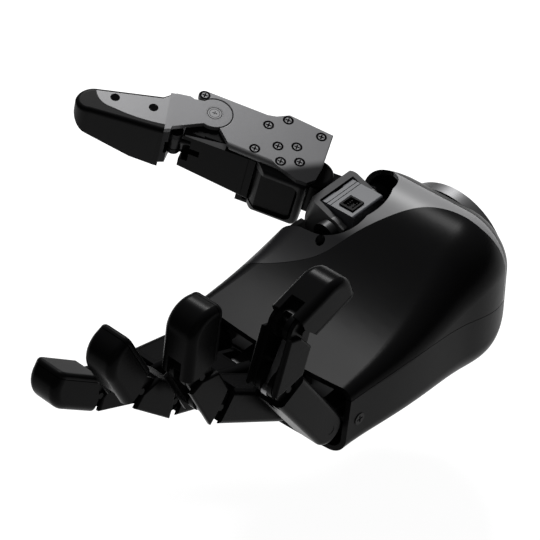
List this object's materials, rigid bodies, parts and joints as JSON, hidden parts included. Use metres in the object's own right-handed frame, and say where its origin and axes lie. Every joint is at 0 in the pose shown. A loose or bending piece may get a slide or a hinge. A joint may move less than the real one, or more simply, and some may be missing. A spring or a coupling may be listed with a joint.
{
  "type": "dexterous robot hand",
  "caption": "Right-hand robot gripper with four coupled fingers, a three-joint thumb and a round bolt-on wrist flange.",
  "frame": {"origin": "centre of the wrist flange's outer face, on the bolt circle's axis", "axes": "+X from the wrist towards the fingers, +Z out of the palm, +Y towards the little finger"},
  "size_m": [0.2295, 0.2023, 0.1224],
  "materials": {
    "black_plastic": "satin black",
    "grey_plastic": "satin dark grey",
    "dark_plastic": "matt black",
    "grey_metal": "bead blasted and anodised grey",
    "frame_metal": "anodised dark grey",
    "soft_pad": "matt dark rubber",
    "steel": "turned",
    "motor_metal": "smooth grey",
    "board": "satin"
  },
  "bodies": {
    "palm": {"back_shell": "black_plastic", "palm_cover": "black_plastic", "thenar_shell": "grey_plastic", "wrist_cap": "black_plastic", "wrist_flange": "motor_metal", "palm_frame": "frame_metal", "dorsal_plate": "dark_plastic", "finger_motors": "motor_metal", "control_board": "board", "knuckle_pins": "steel", "turn_motor": "motor_metal", "turn_connector": "board", "turn_pins": "steel", "side_screw": "steel"},
    "proximal_index": {"proximal_index": "black_plastic", "proximal_plate_index": "grey_metal"},
    "middle_index": {"middle_index": "black_plastic", "joint_pins_index": "steel"},
    "tip_index": {"tip_cap_index": "black_plastic", "finger_pad_index": "soft_pad"},
    "link_index": {"link_index": "steel"},
    "proximal_middle": {"proximal_middle": "black_plastic", "proximal_plate_middle": "grey_metal"},
    "middle_middle": {"middle_middle": "black_plastic", "joint_pins_middle": "steel"},
    "tip_middle": {"tip_cap_middle": "black_plastic", "finger_pad_middle": "soft_pad"},
    "link_middle": {"link_middle": "steel"},
    "proximal_ring": {"proximal_ring": "black_plastic", "proximal_plate_ring": "grey_metal"},
    "middle_ring": {"middle_ring": "black_plastic", "joint_pins_ring": "steel"},
    "tip_ring": {"tip_cap_ring": "black_plastic", "finger_pad_ring": "soft_pad"},
    "link_ring": {"link_ring": "steel"},
    "proximal_little": {"proximal_little": "black_plastic", "proximal_plate_little": "grey_metal"},
    "middle_little": {"middle_little": "black_plastic", "joint_pins_little": "steel"},
    "tip_little": {"tip_cap_little": "black_plastic", "finger_pad_little": "soft_pad"},
    "link_little": {"link_little": "steel"},
    "thumb_base": {"thumb_yoke": "frame_metal", "thumb_hub": "black_plastic", "root_bracket": "frame_metal", "root_motor": "motor_metal", "bend_pin": "steel"},
    "thumb_arm": {"side_plate": "grey_metal", "plate_screws": "steel", "actuator_cap": "black_plastic", "actuator_body": "black_plastic", "bend_strap": "frame_metal", "pivot_pin": "steel"},
    "thumb_tip": {"tip_fork": "grey_metal", "eye_pin": "steel", "tip_inlay": "grey_metal", "thumb_pad": "soft_pad"},
    "push_rod": {"push_rod": "steel"}
  },
  "joints": [
    {"name": "index_knuckle", "type": "hinge", "parent": "palm", "child": "proximal_index", "pos_m": [0.1335, -0.0335, 0.006], "axis": [0, -1, 0], "range_deg": [-14.2, 52.8]},
    {"name": "index_middle_joint", "type": "hinge", "parent": "proximal_index", "child": "middle_index", "pos_m": [0.18197, -0.0335, 0.01826], "axis": [0, -1, 0], "range_deg": [-12.79, 47.53]},
    {"name": "index_tip_joint", "type": "hinge", "parent": "middle_index", "child": "tip_index", "pos_m": [0.20514, -0.0335, 0.03006], "axis": [0, -1, 0], "range_deg": [-12.79, 47.53]},
    {"name": "index_link_pin", "type": "hinge", "parent": "tip_index", "child": "link_index", "pos_m": [0.20258, -0.0335, 0.03314], "axis": [0, -1, 0], "range_deg": [-54.43, 14.65]},
    {"name": "middle_knuckle", "type": "hinge", "parent": "palm", "child": "proximal_middle", "pos_m": [0.139, -0.0105, 0.006], "axis": [0, -1, 0], "range_deg": [-24.5, 42.5]},
    {"name": "middle_middle_joint", "type": "hinge", "parent": "proximal_middle", "child": "middle_middle", "pos_m": [0.1845, -0.0105, 0.02673], "axis": [0, -1, 0], "range_deg": [-22.06, 38.26]},
    {"name": "middle_tip_joint", "type": "hinge", "parent": "middle_middle", "child": "tip_middle", "pos_m": [0.20238, -0.0105, 0.04561], "axis": [0, -1, 0], "range_deg": [-22.06, 38.26]},
    {"name": "middle_link_pin", "type": "hinge", "parent": "tip_middle", "child": "link_middle", "pos_m": [0.19865, -0.0105, 0.04707], "axis": [0, -1, 0], "range_deg": [-43.81, 25.26]},
    {"name": "ring_knuckle", "type": "hinge", "parent": "palm", "child": "proximal_ring", "pos_m": [0.14, 0.0125, 0.006], "axis": [0, -1, 0], "range_deg": [-36, 31]},
    {"name": "ring_middle_joint", "type": "hinge", "parent": "proximal_ring", "child": "middle_ring", "pos_m": [0.18045, 0.0125, 0.03539], "axis": [0, -1, 0], "range_deg": [-32.41, 27.91]},
    {"name": "ring_tip_joint", "type": "hinge", "parent": "middle_ring", "child": "tip_ring", "pos_m": [0.19002, 0.0125, 0.05956], "axis": [0, -1, 0], "range_deg": [-32.41, 27.91]},
    {"name": "ring_link_pin", "type": "hinge", "parent": "tip_ring", "child": "link_ring", "pos_m": [0.18609, 0.0125, 0.05881], "axis": [0, -1, 0], "range_deg": [-31.96, 37.12]},
    {"name": "little_knuckle", "type": "hinge", "parent": "palm", "child": "proximal_little", "pos_m": [0.1385, 0.0355, 0.006], "axis": [0, -1, 0], "range_deg": [-59, 8]},
    {"name": "little_middle_joint", "type": "hinge", "parent": "proximal_little", "child": "middle_little", "pos_m": [0.16425, 0.0355, 0.04886], "axis": [0, -1, 0], "range_deg": [-53.11, 7.21]},
    {"name": "little_tip_joint", "type": "hinge", "parent": "middle_little", "child": "tip_little", "pos_m": [0.15447, 0.0355, 0.07295], "axis": [0, -1, 0], "range_deg": [-53.11, 7.21]},
    {"name": "little_link_pin", "type": "hinge", "parent": "tip_little", "child": "link_little", "pos_m": [0.15345, 0.0355, 0.06908], "axis": [0, -1, 0], "range_deg": [-8.26, 60.82]},
    {"name": "thumb_turn", "type": "hinge", "parent": "palm", "child": "thumb_base", "pos_m": [0.0355, -0.033, 0.02], "axis": [-1, 0, 0], "range_deg": [-10, 50]},
    {"name": "thumb_bend", "type": "hinge", "parent": "thumb_base", "child": "thumb_arm", "pos_m": [0.0433, -0.07066, 0.02693], "axis": [0.0365, 0.2967, 0.9543], "range_deg": [-10, 20]},
    {"name": "thumb_tip_joint", "type": "hinge", "parent": "thumb_arm", "child": "thumb_tip", "pos_m": [0.05405, -0.10679, 0.04299], "axis": [0.0365, 0.2967, 0.9543], "range_deg": [-5, 18]},
    {"name": "push_rod_pin", "type": "hinge", "parent": "thumb_tip", "child": "push_rod", "pos_m": [0.07093, -0.11414, 0.04358], "axis": [0.0365, 0.2967, 0.9543], "range_deg": [-5.05, 1.41]}
  ],
  "couplings": [
    {"joint": "index_middle_joint", "follows": "index_knuckle", "ratio": 0.9},
    {"joint": "index_tip_joint", "follows": "index_knuckle", "ratio": 0.9},
    {"joint": "index_link_pin", "follows": "index_knuckle", "ratio": -1.0307},
    {"joint": "middle_middle_joint", "follows": "middle_knuckle", "ratio": 0.9},
    {"joint": "middle_tip_joint", "follows": "middle_knuckle", "ratio": 0.9},
    {"joint": "middle_link_pin", "follows": "middle_knuckle", "ratio": -1.0307},
    {"joint": "ring_middle_joint", "follows": "ring_knuckle", "ratio": 0.9},
    {"joint": "ring_tip_joint", "follows": "ring_knuckle", "ratio": 0.9},
    {"joint": "ring_link_pin", "follows": "ring_knuckle", "ratio": -1.0307},
    {"joint": "little_middle_joint", "follows": "little_knuckle", "ratio": 0.9},
    {"joint": "little_tip_joint", "follows": "little_knuckle", "ratio": 0.9},
    {"joint": "little_link_pin", "follows": "little_knuckle", "ratio": -1.0307},
    {"joint": "push_rod_pin", "follows": "thumb_tip_joint", "ratio": -0.28}
  ]
}
